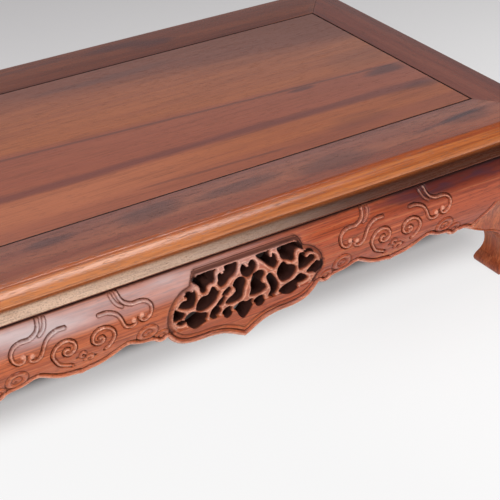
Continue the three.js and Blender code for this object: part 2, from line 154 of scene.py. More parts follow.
def add_piece(name, mesh, finish, smooth_below):
    """The mesh as an object with one finish, shaded smooth except over edges sharper than that angle"""
    mesh.shade_smooth()
    mesh.set_sharp_from_angle(angle=math.radians(smooth_below))
    piece = bpy.data.objects.new(name, mesh)
    piece.data.materials.append(finish)
    scene.collection.objects.link(piece)
    return piece


def new_piece(name, vertices, faces, finish, smooth_below=35, **painted):
    """A piece of merged vertices, with its faces turned outward"""
    mesh = new_mesh(name, vertices, faces, painted)
    mesh.update()
    shape = bmesh.new()
    shape.from_mesh(mesh)
    bmesh.ops.remove_doubles(shape, verts=shape.verts, dist=SAME_PLACE)
    bmesh.ops.dissolve_degenerate(shape, edges=shape.edges, dist=SAME_PLACE)
    bmesh.ops.recalc_face_normals(shape, faces=shape.faces)
    shape.to_mesh(mesh)
    shape.free()
    return add_piece(name, mesh, finish, smooth_below)


PAPER_WHITE, PAPER_GREY = (0.93, 0.925, 0.925), (0.56, 0.545, 0.55)
PAPER_IN_SHADE = (0.10, 0.085, 0.080)
PAPER_HALF = 4000
paper, place, feed = new_finish("white_paper", Roughness=0.9)
across, distance, _ = place.split()
shade = distance.step(-0.10, 0.55).blend(PAPER_WHITE, PAPER_GREY)
under = distance.step(-0.057, -0.043) * (0.095 - distance).step(0, 0.02)
under *= (0.185 - abs(across)).step(0, 0.02)
# Painted shade: the paper's colour is darkened under the stand.
feed("Base Color", (under * 0.8).blend(shade, PAPER_IN_SHADE))
glow = place.node("ShaderNodeEmission", None, {"Color": shade, "Strength": 1.0})
seen = place.node("ShaderNodeLightPath", None, None, out="Is Camera Ray")
mirrored = place.node("ShaderNodeLightPath", None, None, out="Is Glossy Ray")
tree = paper.node_tree
output = tree.nodes["Material Output"]
plain = Tone(tree, output.inputs["Surface"].links[0].from_socket)

# Only camera and mirror rays see a share of even white: none under the stand, where its shadow lies, less
# behind the stand's front edge, and most at the front left.
leftward = (0.12 - across).step(0, 0.14) * (across + 0.75).step(0, 0.40)
near = (0.42 - abs(across)).step(0, 0.16)
behind = near * distance.step(-0.089, -0.056) + (1 - near) * distance.step(-0.35, 0.25)
share = 0.78 - behind * 0.40
share += leftward * (0.99 - behind * 0.55 - share)
share = (seen + mirrored) * (1 - under) * share
both = plain.node("ShaderNodeMixShader", None, {0: share, 1: plain, 2: glow})
tree.links.new(both.socket, output.inputs["Surface"])
floor_points = [[sx * PAPER_HALF, sy * PAPER_HALF, 0] for sx, sy in ((-1, -1), (1, -1), (1, 1), (-1, 1))]
floor = new_piece("floor", floor_points, [[0, 1, 2, 3]], paper)

# The room is lighter behind the stand than on the camera's side.
ROOM_FRONT, ROOM_BACK = (0.13, 0.13, 0.135), (0.44, 0.43, 0.435)
world = bpy.data.worlds.new("room")
scene.world = world
world.use_nodes = True
tree = world.node_tree
background = tree.nodes["Background"]
toward = Tone(tree, tree.nodes.new("ShaderNodeTexCoord").outputs["Generated"]).split()[1]
light = toward.step(-0.7, 0.8).blend(ROOM_FRONT, ROOM_BACK)
tree.links.new(light.socket, background.inputs["Color"])
background.inputs["Strength"].default_value = 1.0


def soft_box(name, at, toward, width, height, power):
    """A lit rectangle that faces a point of the stand; metres and watts"""
    light = bpy.data.lights.new(name, "AREA")
    light.shape = "RECTANGLE"
    light.size, light.size_y, light.energy = width, height, power
    lamp = bpy.data.objects.new(name, light)
    lamp.location = at
    lamp.rotation_euler = (Vector(toward) - Vector(at)).to_track_quat("-Z", "Y").to_euler()
    scene.collection.objects.link(lamp)


soft_box("front_box", (0.17, -0.54, 0.665), (-0.07, -0.107, 0.09), 0.50, 0.30, 3.3)
soft_box("left_box", (-0.80, -0.78, 0.52), (-0.05, -0.05, 0.06), 0.50, 0.50, 6)
soft_box("over_box", (-0.42, 0.12, 1.25), (0, 0, 0.05), 0.9, 0.9, 6.8)


# Top rails: four boards of rosewood, mitred at the corners and grooved inside for the panel. Their edge is
# run with a moulding plane: a fine arris, a long slope, a full nose and a quirk under it.
FLAT_HALF_X, FLAT_HALF_Y = 193.9, 103.25
LONG_RAIL, SHORT_RAIL = 29.2, 25.8
RAIL_THICKNESS = 12.0
GROOVE_TOP, GROOVE_BOTTOM, GROOVE_DEEP = 3.3, 6.7, 5
MITRE_GAP, STATIONS = 0.12, 49
TOP = HEIGHT / MILLIMETRE
LONG_SIDE = dict(grain=0, half=FLAT_HALF_X, reach=FLAT_HALF_Y, width=LONG_RAIL, corner=SHORT_RAIL)
SHORT_SIDE = dict(grain=1, half=FLAT_HALF_Y, reach=FLAT_HALF_X, width=SHORT_RAIL, corner=LONG_RAIL)
SIDES = [("front", 0, LONG_SIDE), ("right", 90, SHORT_SIDE),
         ("back", 180, LONG_SIDE), ("left", 270, SHORT_SIDE)]


def drawn(points, steps, closed=False):
    """A smooth line through given points, with so many steps from each to the next"""
    knots = np.asarray(points, float)
    count = len(knots)
    if closed:
        before, start, end, after = (np.roll(knots, -k, axis=0) for k in (-1, 0, 1, 2))
    else:
        padded = np.vstack([2 * knots[0] - knots[1], knots, 2 * knots[-1] - knots[-2]])
        before, start, end, after = (padded[k:count - 1 + k] for k in range(4))
    line = []
    for i in range(len(start)):
        for k in range(steps):
            t = k / steps
            blend = (
                (2 * start[i]) + (end[i] - before[i]) * t
                + (2 * before[i] - 5 * start[i] + 4 * end[i] - after[i]) * t ** 2
                + (3 * start[i] - before[i] - 3 * end[i] + after[i]) * t ** 3
            )
            line.append(blend / 2)
    if not closed:
        line.append(knots[-1])
    return np.array(line)


def turned(points, degrees):
    """Points drawn on the front side, turned round the middle of the stand"""
    x, y, z = np.asarray(points, float).T
    c, s = round(math.cos(math.radians(degrees))), round(math.sin(math.radians(degrees)))
    return np.column_stack([x * c - y * s, x * s + y * c, z])


def sleeve(around, rings):
    """The faces of a closed skin over rings of points, each with so many points around"""
    faces = []
    for k in range(rings - 1):
        for i in range(around):
            j = (i + 1) % around
            faces.append([k * around + i, k * around + j, (k + 1) * around + j, (k + 1) * around + i])
    faces.append(list(range(around)))
    faces.append([(rings - 1) * around + i for i in range(around)])
    return faces


def moulding(name, side, degrees, section, end_at, finish):
    """A closed section [outward, depth] run along a side, each of its lines ending at its own mitre. The
    planed edge wanders by a few hundredths, as hand work does."""
    section = np.asarray(section, float)
    ends = np.array([end_at(outward) for outward, depth in section])
    stations = np.linspace(-1, 1, STATIONS)
    vertices = []
    for share in stations:
        wander = 0.03 * math.sin(9.1 * share + side["half"]) + 0.01 * math.sin(23.7 * share)
        for (outward, depth), end in zip(section, ends):
            sway = wander if outward > 1 else 0
            vertices.append([share * end, -side["reach"] - outward + sway, TOP - depth])
    around = len(section)
    faces = sleeve(around, STATIONS)
    outward, depth = np.tile(section, (STATIONS, 1)).T
    edge = np.clip((outward + 0.1) / 0.4, 0, 1)
    # Painted shade in the seam: the faces inside the panel groove are painted dark.
    cut = np.where((outward < -12) & (depth > 0.2), 1.0, 0.0)
    return new_piece(name, turned(vertices, degrees), faces, finish, 28, edge=edge, cut=cut)


PAINTED_SHEEN, OLD_WAX_AND_SHADE = (0.60, 0.50, 0.50), (0.020, 0.004, 0.003)


class Rosewood:
    """Waxed rosewood with its grain along one axis (0 is X, 1 is Y, 2 is Z). Lengths are millimetres."""

    def __init__(self, name, grain, gloss=0.5):
        self.material, place, self.feed = new_finish(name, Specular_IOR_Level=gloss)
        self.grain = grain
        values = {0: place, "Scale": 1 / MILLIMETRE}
        self.place = place.node("ShaderNodeVectorMath", {"operation": "SCALE"}, values)
        self.x, self.y, self.z = self.place.split()
        self.ragged = self.noise(45, 11, 3.0, 4.4) - 0.5

    def noise(self, along, across, detail=3.0, shift=0.0, distortion=0.0):
        """A figure drawn out along the grain: its lengths along and across it, and where it starts"""
        scale = [1 / across] * 3
        scale[self.grain] = 1 / along
        start = (shift, shift * 0.7, shift * 1.3)
        values = {"Vector": self.place, "Location": start, "Scale": tuple(scale)}
        spread = self.place.node("ShaderNodeMapping", None, values)
        values = {"Scale": 1.0, "Detail": detail, "Roughness": 0.55, "Distortion": distortion}
        values["Vector"] = spread
        return spread.node("ShaderNodeTexNoise", None, values)

    def painted(self, what):
        return self.place.node("ShaderNodeAttribute", {"attribute_name": what}, None, out=2)

    def smudge(self, x, y, long, wide):
        """A soft oval stain with a ragged rim, long along X"""
        u = (self.x - x) * (1 / long) + self.ragged * 0.8
        v = (self.y - y) * (1 / wide) + self.ragged * 1.5
        return (1 - (u * u + v * v)).step(0.0, 0.9)

    def streak(self, start, end, wide, fade=18.0):
        """A soft band between two points of the top, thinning out at its ends"""
        slope = (end[1] - start[1]) / (end[0] - start[0])
        middle = self.x * slope + (start[1] - start[0] * slope) + self.ragged * wide * 1.2
        gap = abs(self.y - middle) * (1 / wide)
        ends = (self.x - start[0]).step(0.0, fade) * (end[0] - self.x).step(0.0, fade)
        return (1 - gap).step(0.0, 0.8) * ends

    def wax(self, colour, dark, lines=0.5, pores=0.35, roughness=0.3, sheen_mask=None):
        """Adds the fine grain, pores, a painted sheen, old wax and painted shade in the cuts; feeds the
        shader
        """
        fine = self.noise(34, 0.75, 3.0, 1.7)
        fleck = self.noise(5.0, 0.55, 2.0, 5.2).step(0.54, 0.70)
        colour = (fine.step(0.46, 0.72) * lines).blend(colour, dark)
        colour = (fleck * pores).blend(colour, dark)
        if sheen_mask:
            colour = sheen_mask.blend(colour, PAINTED_SHEEN)
        cut, ridge = self.painted("cut"), self.painted("ridge")
        # Old wax and painted shade: the colour turns almost black where the mesh is painted 'cut'.
        colour = cut.blend(colour, OLD_WAX_AND_SHADE)
        self.feed("Base Color", colour)
        rough = roughness + (fine - 0.5) * 0.14 + fleck * 0.12 + cut * 0.55 - ridge * 0.14
        self.feed("Roughness", rough)
        height = fine * 0.05 - fleck * 0.06
        values = {"Height": height, "Strength": 0.5, "Distance": MILLIMETRE}
        self.feed("Normal", height.node("ShaderNodeBump", None, values))
        return self.material


SMUDGE, DARK_LINE = (0.040, 0.022, 0.030), (0.060, 0.018, 0.012)
ORANGE, RED_ORANGE = (0.44, 0.130, 0.034), (0.30, 0.066, 0.016)
LEFT_LIT_ORANGE, LOWER_LIT_ORANGE, ARRIS_SHADE_RED = (0.54, 0.200, 0.075), (0.62, 0.235, 0.092), (0.26, 0.045, 0.012)


def rail_wood(name, grain, plain, deep, stain):
    """Frame wood: mauve brown on the flat, fresh orange where the edge was run, with blue-grey stains"""
    wood = Rosewood(name, grain)
    bands = wood.noise(240, 10, 3.0, 3.1, 0.4)
    colour = bands.step(0.40, 0.62).blend(plain, deep)
    colour = stain(wood).blend(colour, SMUDGE)
    orange = wood.noise(110, 1.4, 4.0, 7.7, 0.3).step(0.38, 0.64).blend(ORANGE, RED_ORANGE)
    if grain == 0:
        # Painted highlight: on the long rails the orange edge turns paler towards the left.
        orange = ((-20 - wood.x).step(-70, 70) * 0.6).blend(orange, LEFT_LIT_ORANGE)
    # Painted shade: the upper slope of the edge, just below the arris, is painted darker red.
    orange = ((wood.z - 98.1).step(-0.5, 0.5) * 0.7).blend(orange, ARRIS_SHADE_RED)
    # Painted light: the lower part of the nose is painted a lighter orange.
    orange = ((94.6 - wood.z).step(-0.6, 2.0) * 0.45).blend(orange, LOWER_LIT_ORANGE)
    colour = wood.painted("edge").blend(colour, orange)
    return wood.wax(colour, DARK_LINE, 0.42, 0.5, 0.22)


def front_stains(wood):
    marks = wood.smudge(-92, -82, 16, 4) + wood.smudge(-42, -85, 24, 8) + wood.smudge(6, -87, 32, 6)
    marks = marks * 0.6 + wood.smudge(64, -92, 34, 8) * 0.6 + wood.streak((105, -91), (175, -84), 2.4) * 0.5
    return marks + wood.smudge(152, -88, 20, 9) * 0.5


def back_stains(wood):
    marks = wood.smudge(38, 94, 26, 6) * 0.75 + wood.smudge(60, 88, 20, 5) * 0.7
    return marks + wood.streak((-190, 88), (20, 98), 3) * 0.5


def end_stains(wood):
    return (abs(wood.x) - 184).step(0.0, 8.0) * 0.62 + wood.noise(60, 6, 3.0, 9.0).step(0.55, 0.75) * 0.35


FLAT_COLOURS = {
    "front": ((0.265, 0.086, 0.050), (0.195, 0.056, 0.037), front_stains),
    "back": ((0.150, 0.046, 0.028), (0.105, 0.032, 0.024), back_stains),
    "right": ((0.175, 0.054, 0.038), (0.140, 0.040, 0.030), end_stains),
    "left": ((0.190, 0.060, 0.040), (0.150, 0.044, 0.032), end_stains),
}
nose_slope = drawn([[0.38, 0.65], [0.8, 1.25], [1.65, 1.8], [2.9, 2.75], [4.12, 4.05], [5.13, 5.5],
                    [5.8, 6.8], [6.05, 7.7]], 4)
quirk = [[6.0, 8.2], [5.7, 8.6], [5.2, 8.75], [-0.3, 8.9], [-0.5, 9.2], [-0.6, RAIL_THICKNESS]]
for side_name, degrees, side in SIDES:
    inner = -side["width"]
    deep = inner + GROOVE_DEEP
    groove = [[inner, RAIL_THICKNESS], [inner, GROOVE_BOTTOM], [deep, GROOVE_BOTTOM], [deep, GROOVE_TOP],
              [inner, GROOVE_TOP], [inner, 0.25], [inner + 0.05, 0.05], [inner + 0.16, 0.0]]
    slant = side["corner"] / side["width"]

    def mitre(outward):
        return side["half"] - MITRE_GAP + (outward if outward > 0 else outward * slant)

    finish = rail_wood("frame_rosewood_" + side_name, side["grain"], *FLAT_COLOURS[side_name])
    section = [[-0.02, 0], *nose_slope, *quirk, *groove]
    rail = moulding("top_rail_" + side_name + "_moulded", side, degrees, section, mitre, finish)
    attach(rail, "root")
    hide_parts("top_rail_" + side_name)


# Top panel: one broad rosewood board, its grain along the stand. It floats in the frame on a tongue worked
# all round, with a fine open seam, and its upper edges are just eased.
SEAM_X, SEAM_Y = 1.15, 1.0
TONGUE, TONGUE_TOP, TONGUE_BOTTOM, PANEL_THICKNESS = 5.4, 3.5, 6.5, 7.5
BROWN, DEEP_BROWN, FRONT_LEFT = (0.330, 0.098, 0.038), (0.275, 0.078, 0.034), (0.370, 0.120, 0.060)
BACK_BAND, MIDDLE_BAND, FRONT_BAND = (0.165, 0.044, 0.026), (0.250, 0.070, 0.045), (0.215, 0.062, 0.040)
THIN_STREAK, BROAD_STREAK, PANEL_LINE = (0.085, 0.034, 0.030), (0.125, 0.038, 0.034), (0.085, 0.026, 0.016)
board = Rosewood("panel_rosewood", 0)
sweep = board.y + board.x * (0.03 + (board.y + 36) * 0.0013) + board.ragged * 5
figure = board.noise(150, 9, 3.0, 2.2, 0.3)
colour = figure.step(0.35, 0.65).blend(BROWN, DEEP_BROWN)
front_left = (-34 - board.y).step(0, 10) * (60 - board.x).step(0, 120)
colour = (front_left * 0.9).blend(colour, FRONT_LEFT)
colour = (sweep.step(40, 62) * 0.85).blend(colour, BACK_BAND)
colour = ((sweep + 30).step(-14, -6) * (2 - sweep).step(0, 5) * 0.75).blend(colour, MIDDLE_BAND)
colour = ((-62 - sweep).step(-6, 5) * 0.6).blend(colour, FRONT_BAND)
colour = (board.streak((-190, 9), (175, -14.5), 1.5) * 0.62).blend(colour, THIN_STREAK)
colour = (board.streak((-195, -33), (175, -41), 5.2) * 0.72).blend(colour, BROAD_STREAK)
stains = board.smudge(97, -13, 12, 2.6) * 0.6 + board.smudge(152, -18, 17, 6) * 0.65
stains += board.smudge(158, -44, 18, 6) * 0.4
stains = stains + board.smudge(104, -60, 26, 8) * 0.22 + board.smudge(150, 4, 26, 14) * 0.15
stains = stains + board.streak((-40, -62), (60, -66), 1.3) * 0.4 + board.smudge(10, 60, 60, 5) * 0.3
colour = stains.blend(colour, SMUDGE)
panel_wood = board.wax(colour, PANEL_LINE, 0.36, 0.34, 0.30)
panel_x, panel_y = FLAT_HALF_X - SHORT_RAIL - SEAM_X, FLAT_HALF_Y - LONG_RAIL - SEAM_Y
rings = [(-0.16, 0), (-0.05, 0.05), (0, 0.21), (0, TONGUE_TOP), (TONGUE, TONGUE_TOP),
         (TONGUE, TONGUE_BOTTOM), (0, TONGUE_BOTTOM), (0, PANEL_THICKNESS)]
vertices = []
for grow, depth in rings:
    for sx, sy in ((-1, -1), (1, -1), (1, 1), (-1, 1)):
        vertices.append([sx * (panel_x + grow), sy * (panel_y + grow), TOP - depth])
# Painted shade in the seam: the panel's edge below its eased arris is painted dark.
cut = [1.0 if depth > 0.2 else 0.0 for grow, depth in rings[:-1] for corner in range(4)] + [0.0] * 4
panel = new_piece("top_panel_board", vertices, sleeve(4, len(rings)), panel_wood, 50, cut=cut)
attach(panel, "root")
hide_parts("top_panel")


# Panel battens: two plain bars dovetailed across the underside of the panel to keep it flat, their ends let
# into the long rails. They are planed and left without wax.
DRY_BROWN, DRY_DEEP, DRY_LINE = (0.33, 0.17, 0.09), (0.24, 0.11, 0.06), (0.09, 0.05, 0.035)
bar_wood = Rosewood("batten_wood", 1)
colour = bar_wood.noise(120, 6, 3.0, 6.6, 0.4).step(0.4, 0.62).blend(DRY_BROWN, DRY_DEEP)
batten_wood = bar_wood.wax(colour, DRY_LINE, 0.35, 0.3, 0.62)
for side_name in ("left", "right"):
    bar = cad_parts["panel_batten_" + side_name]
    bar.data.materials.clear()
    bar.data.materials.append(batten_wood)


# Waist strips: four thin strips set back under the top and hollowed on the face, so that they flare out to
# a lip over the aprons. They are mitred at the corners and glued between the rails and the aprons.
WAIST_BOTTOM, WAIST_BACK = 19.9, -9.5
OLIVE, DARK_OLIVE, OLIVE_SHEEN = (0.080, 0.020, 0.008), (0.052, 0.012, 0.005), (0.72, 0.48, 0.325)
UNDER_TOP, LIP_EDGE, PORE = (0.40, 0.10, 0.018), (0.16, 0.030, 0.008), (0.10, 0.045, 0.022)
OLIVE_LINE = (0.060, 0.022, 0.010)


def strip_wood(name, grain):
    """Waist wood: olive brown, close and full of fine pores"""
    wood = Rosewood(name, grain, 0.26)
    colour = wood.noise(150, 3, 3.0, 2.8, 0.3).step(0.4, 0.65).blend(OLIVE, DARK_OLIVE)
    if grain == 0:
        # Painted sheen: on the long strips the waist turns pale towards the left.
        colour = ((10 - wood.x).step(-70, 110) * 0.85).blend(colour, OLIVE_SHEEN)
    colour = (wood.z - 84.9).step(0, 1.6).blend(colour, UNDER_TOP)
    colour = (wood.noise(0.9, 0.55, 2.0, 3.3).step(0.44, 0.72) * 0.42).blend(colour, PORE)
    colour = (82.0 - wood.z).step(0, 0.4).blend(colour, LIP_EDGE)
    return wood.wax(colour, OLIVE_LINE, 0.35, 0.14, 0.27)


waist_wood = [strip_wood("waist_rosewood_long", 0), strip_wood("waist_rosewood_short", 1)]
cove = drawn([[-0.6, RAIL_THICKNESS], [-0.5, 13.1], [0, 14.4], [1.1, 15.7], [2.3, 16.85], [3.45, 17.9]], 4)
lip = [[3.6, 18.1], [3.6, 18.5], [3.35, 18.8], [3.0, 18.9], [-3.4, 18.9], [-3.4, WAIST_BOTTOM]]
waist_section = [*cove, *lip, [WAIST_BACK, WAIST_BOTTOM], [WAIST_BACK, RAIL_THICKNESS]]
for side_name, degrees, side in SIDES:
    def mitre(outward):
        return side["half"] - MITRE_GAP + outward

    finish = waist_wood[side["grain"]]
    strip = moulding("waist_strip_" + side_name + "_coved", side, degrees, waist_section, mitre, finish)
    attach(strip, "root")
    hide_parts("waist_strip_" + side_name)


# Long aprons: bulged rosewood boards, carved in low relief with ruyi clouds and scrolls. Each has a
# scalloped lower edge worked to a raised bead, and a pierced panel of knotted tendrils in the middle.
APRON_TOP, APRON_BACK = WAIST_BOTTOM, 9.0
SHOULDER_START, WING_END, WING_END_DEPTH, SEAM_HALF_GAP = 2.8, 46.0, 61.5, 0.2
UNIT_CENTRE = 91.0
SMALL_LOBE_AT, SMALL_LOBE_RADIUS = (42.8, 55.6), 4.4
bulge = drawn([[APRON_TOP, -2.8], [21.8, -1.7], [24.2, 0.1], [27.2, 2.2], [30.8, 3.75], [35.2, 4.65],
               [42, 4.9], [48, 4.2], [52, 2.9], [56, 1.5], [60, 0.6], [66, 0.5], [76, 0.8]], 4)
centre_lobe = drawn([[0, 74.7], [2.5, 73.6], [6, 71.7], [10, 69.8], [14, 68.5], [20, 67.6], [26, 67.5],
                     [30, 67.2], [34, 66.5], [38, 65.1], [41, 63], [43.2, 60.8]], 4)
unit_lobe = drawn([[0, 61.4], [2, 60.8], [5, 60.4], [9, 59.9], [13, 58.7], [17, 56.8], [20.5, 54.7],
                   [23.4, 53.3]], 3)
unit_skirt = drawn([[25.5, 53.7], [28, 55], [31, 56.1], [34, 56.6], [36.8, 57]], 3)
unit_tail = drawn([[47.6, 58.9], [50, 58.5], [52.7, 59.4], [55, 60.6]], 3)
turns = np.radians(range(140, 39, -10))
small_lobe = np.array(SMALL_LOBE_AT) + SMALL_LOBE_RADIUS * np.column_stack([np.cos(turns), np.sin(turns)])
half_unit = np.vstack([unit_lobe, unit_skirt, small_lobe])


def seam_at(depth):
    """How far in from the flat corner the slanted seam between apron and leg lies"""
    return SHOULDER_START + (depth - APRON_TOP) * (WING_END - SHOULDER_START) / (WING_END_DEPTH - APRON_TOP)


def apron_outline(side):
    """The closed outline of an apron as [along, depth], the lower edge first"""
    edge = np.vstack([half_unit, unit_tail])
    if side is LONG_SIDE:
        inner = half_unit[1:][::-1] * [-1, 1] + [UNIT_CENTRE, 0]
        edge = np.vstack([centre_lobe, inner, edge + [UNIT_CENTRE, 0]])
    foot = [side["half"] - WING_END - SEAM_HALF_GAP, WING_END_DEPTH]
    head = [side["half"] - SHOULDER_START - SEAM_HALF_GAP, APRON_TOP]
    right_half = np.vstack([edge, [foot], [head]])
    left_half = (right_half * [-1, 1])[::-1]
    return np.vstack([right_half, left_half[:-1]])


def nearest(line, along, depth, closed=False, window=1e9, sides=False):
    """Distance from each point to a drawn line, large beyond the window, and if asked the side it is on"""
    line = np.asarray(line, float)
    far = np.full(along.shape, 1e6)
    side_of = np.zeros(along.shape)
    low, high = line.min(0) - window, line.max(0) + window
    at = (along > low[0]) & (along < high[0]) & (depth > low[1]) & (depth < high[1])
    x, d = along[at], depth[at]
    best = np.full(x.shape, 1e12)
    turn = np.zeros(x.shape)
    ends = np.roll(line, -1, axis=0) if closed else line[1:]
    for start, end in zip(line, ends):
        span = end - start
        length = max(float(span @ span), 1e-12)
        t = np.clip(((x - start[0]) * span[0] + (d - start[1]) * span[1]) / length, 0, 1)
        gap = (x - start[0] - t * span[0]) ** 2 + (d - start[1] - t * span[1]) ** 2
        closer = gap < best
        turn[closer] = (span[0] * (d - start[1]) - span[1] * (x - start[0]))[closer]
        best[closer] = gap[closer]
    far[at] = np.sqrt(best)
    side_of[at] = np.sign(turn)
    return (far, side_of) if sides else far


def enclosed(line, along, depth):
    """True where a point lies inside a closed line"""
    inside = np.zeros(along.shape, bool)
    for (x0, d0), (x1, d1) in zip(line, np.roll(line, -1, axis=0)):
        if d0 == d1:
            continue
        crosses = (depth > min(d0, d1)) & (depth <= max(d0, d1))
        inside ^= crosses & (along < x0 + (depth - d0) * (x1 - x0) / (d1 - d0))
    return inside


def hump(gap, middle, width):
    """1 on the middle line, falling away softly on both sides"""
    return np.exp(-((gap - middle) / width) ** 2)


def rising(value, length):
    return np.clip(value / length, 0, 1)


def falling(value, length):
    return np.clip(1 - value / length, 0, 1)


# The openings between the knotted tendrils, as [along, depth]
OPENWORK = [
    [[-31.2, 30.3], [-28.5, 28.8], [-18.5, 28.8], [-18.8, 32], [-20.4, 35], [-22.6, 35.4], [-24.4, 38.4],
     [-26.2, 38.2], [-28, 34.8]],
    [[-12, 28.9], [-6.3, 29], [-6.2, 31.4], [-8, 34.2], [-10.8, 35.5], [-13.2, 38], [-15.2, 38.7],
     [-16.9, 37], [-17.3, 34.4], [-16.6, 32.2], [-14.4, 31.5], [-12.2, 31.6]],
    [[-2.3, 31], [0.3, 32.3], [2.7, 30.7], [4.5, 32.8], [3.7, 36], [0.5, 38.5], [-2.7, 36.6],
     [-3.8, 33.2]],
    [[6, 29.4], [8.4, 28.8], [13, 28.9], [12.7, 31.2], [15, 31.3], [17.1, 33.2], [17.3, 35.8],
     [15.8, 38.3], [13, 36.6], [9.5, 33]],
    [[18.9, 29.2], [28, 28.8], [30.9, 30.4], [31.6, 32.8], [29.2, 33.8], [26.9, 38], [24, 36.8],
     [20.4, 35], [19.3, 32]],
    [[33.7, 34], [36.7, 34.7], [37.7, 36.5], [34.9, 36.5]],
    [[-36, 34.7], [-33.2, 34.7], [-31, 36], [-30, 39], [-30.6, 42.8], [-32.4, 44.8], [-37, 43.6],
     [-40, 41.4], [-38.6, 40.1], [-36, 39.3], [-35.8, 37]],
    [[-29.1, 47], [-29, 43.8], [-27, 41.2], [-23.8, 41.1], [-22, 39.6], [-20.4, 37.3], [-18.2, 37.8],
     [-17, 40.8], [-18.2, 44], [-20.6, 47.3], [-24.4, 49.3], [-27.6, 48.6]],
    [[-14.7, 43.6], [-13.3, 41.7], [-11, 40.7], [-10.3, 42.4], [-12.4, 44.4]],
    [[-17.8, 49.2], [-15.6, 45.9], [-13.6, 45.3], [-13.9, 48.2], [-15.4, 50.4]],
    [[-8.5, 40.3], [-7.4, 38], [-5, 37.3], [-2.5, 38.5], [-1.7, 41], [-2.9, 45.5], [-3, 49], [-4.6, 51.3],
     [-8, 51.7], [-11.6, 50.2], [-11.6, 48.2], [-8.8, 46.2], [-6.8, 44.3], [-7.2, 42.2]],
    [[2.2, 40.7], [3.5, 38.2], [6, 37.3], [8.5, 38.2], [9.2, 40.4], [7.6, 42.7], [7.8, 44.7], [10, 46.8],
     [10.9, 49.2], [9.3, 51.2], [5.6, 51.7], [2.1, 50.2], [2.4, 46.6], [1.8, 42.9]],
    [[11.2, 42.6], [12, 41.1], [13.6, 41.7], [16.5, 46], [18.6, 50.6], [18.9, 54.6], [17.2, 56.8],
     [14.6, 56.2], [15.2, 52], [13.6, 48]],
    [[17.5, 41.4], [18.7, 38.6], [20.9, 37.3], [22.8, 39.6], [26.2, 40.8], [28.3, 43], [27.6, 46.6],
     [24.4, 49.1], [21, 48.4], [18.3, 44.8]],
    [[30.5, 36.7], [32.4, 35.8], [35.2, 38.1], [38.6, 38.6], [40.2, 40.9], [37.4, 43.3], [33.2, 45],
     [30.7, 43.8]],
    [[36, 48.1], [38, 45.6], [42.6, 42.8], [43.8, 45.8], [42.8, 48.9], [40, 49.9]],
    [[-43.2, 46.5], [-42.4, 43], [-39.6, 44.9], [-36.4, 47.2], [-37.2, 49.8], [-40.6, 50.3]],
    [[-39.4, 52.6], [-37, 51.7], [-34.4, 53.6], [-36.2, 54.8]],
    [[-35, 50.6], [-33.6, 48.4], [-31, 48.3], [-26.6, 50.8], [-22.8, 52.6], [-22.5, 56.4], [-25.4, 58.1],
     [-28.6, 59.2], [-31.2, 57.8], [-33.8, 53.6]],
    [[-20, 54.8], [-19.4, 50.8], [-18, 49.7], [-15.4, 52.2], [-14.7, 55.4], [-17.2, 57.3], [-19.4, 56.8]],
    [[-12, 55], [-10.3, 53.7], [-8.3, 55.2], [-8.3, 58.7], [-10.3, 60], [-12.4, 58]],
    [[-5.9, 55.9], [-4.2, 53.9], [-1.9, 53.5], [0.4, 54.9], [3.4, 54], [4.2, 56.6], [2.4, 60.6],
     [-0.6, 63.4], [-3, 61.4], [-4.6, 58.4]],
    [[6, 56.2], [7.4, 54.3], [10, 54.4], [11.3, 57.3], [9.8, 59.6], [7, 59]],
    [[21, 55.4], [22.7, 53], [28, 50.7], [31, 48.2], [34, 49.8], [37, 52.8], [36.2, 54.6], [32.4, 55],
     [30.4, 57.8], [27.2, 59], [23.2, 57.8]],
]
# Curled tips of the tendrils, reaching into the openings
TIPS = [[[-31.9, 35.4], [-31.3, 34], [-29.7, 33.8], [-28.5, 35.5], [-28.4, 38.2]],
        [[-22.9, 38.4], [-22.8, 36.6], [-20.9, 35.9], [-18.5, 37.2], [-17.1, 39.5]],
        [[-14.4, 31.3], [-15.3, 30.2], [-16.9, 30.2], [-17.9, 31.6], [-17.9, 34.6]],
        [[13.9, 31.5], [14, 30.1], [15.8, 29.9], [17.4, 31.5], [17.9, 34.6]],
        [[32.1, 34.8], [30.7, 33.6], [29, 33.9], [28.4, 36.1], [29.3, 40.2]],
        [[34.9, 38.3], [36.5, 37.4], [39.6, 38.3], [41.4, 40.8]],
        [[-40.7, 41.6], [-39, 39.3], [-37.1, 38.6], [-35.7, 38.7]],
        [[-5.1, 31.9], [-4.1, 30.2], [-1.9, 30.4], [-0.2, 32.3]]]
HOLE_GROWTH, TIP_HALF_WIDTH = 0.38, 0.95
# Frame line sunk round the pierced panel, open below at the beaded edge
PANEL_FRAME = [[-42.2, 57.4], [-44.4, 54], [-46, 50], [-46.4, 45.6], [-45.4, 40.6], [-42.6, 36.2],
               [-38.6, 33], [-34.3, 31.7], [-33.2, 30], [-31.6, 27], [-29.6, 25.4], [-24, 25.2],
               [0, 25.2], [24, 25.2], [28.6, 25.4], [30.8, 26.8], [32, 29.6], [33.2, 31], [37, 32.4],
               [41, 35.6], [43.6, 39.6], [44.6, 44.6], [44.2, 49], [42.6, 52.6], [41.6, 57]]
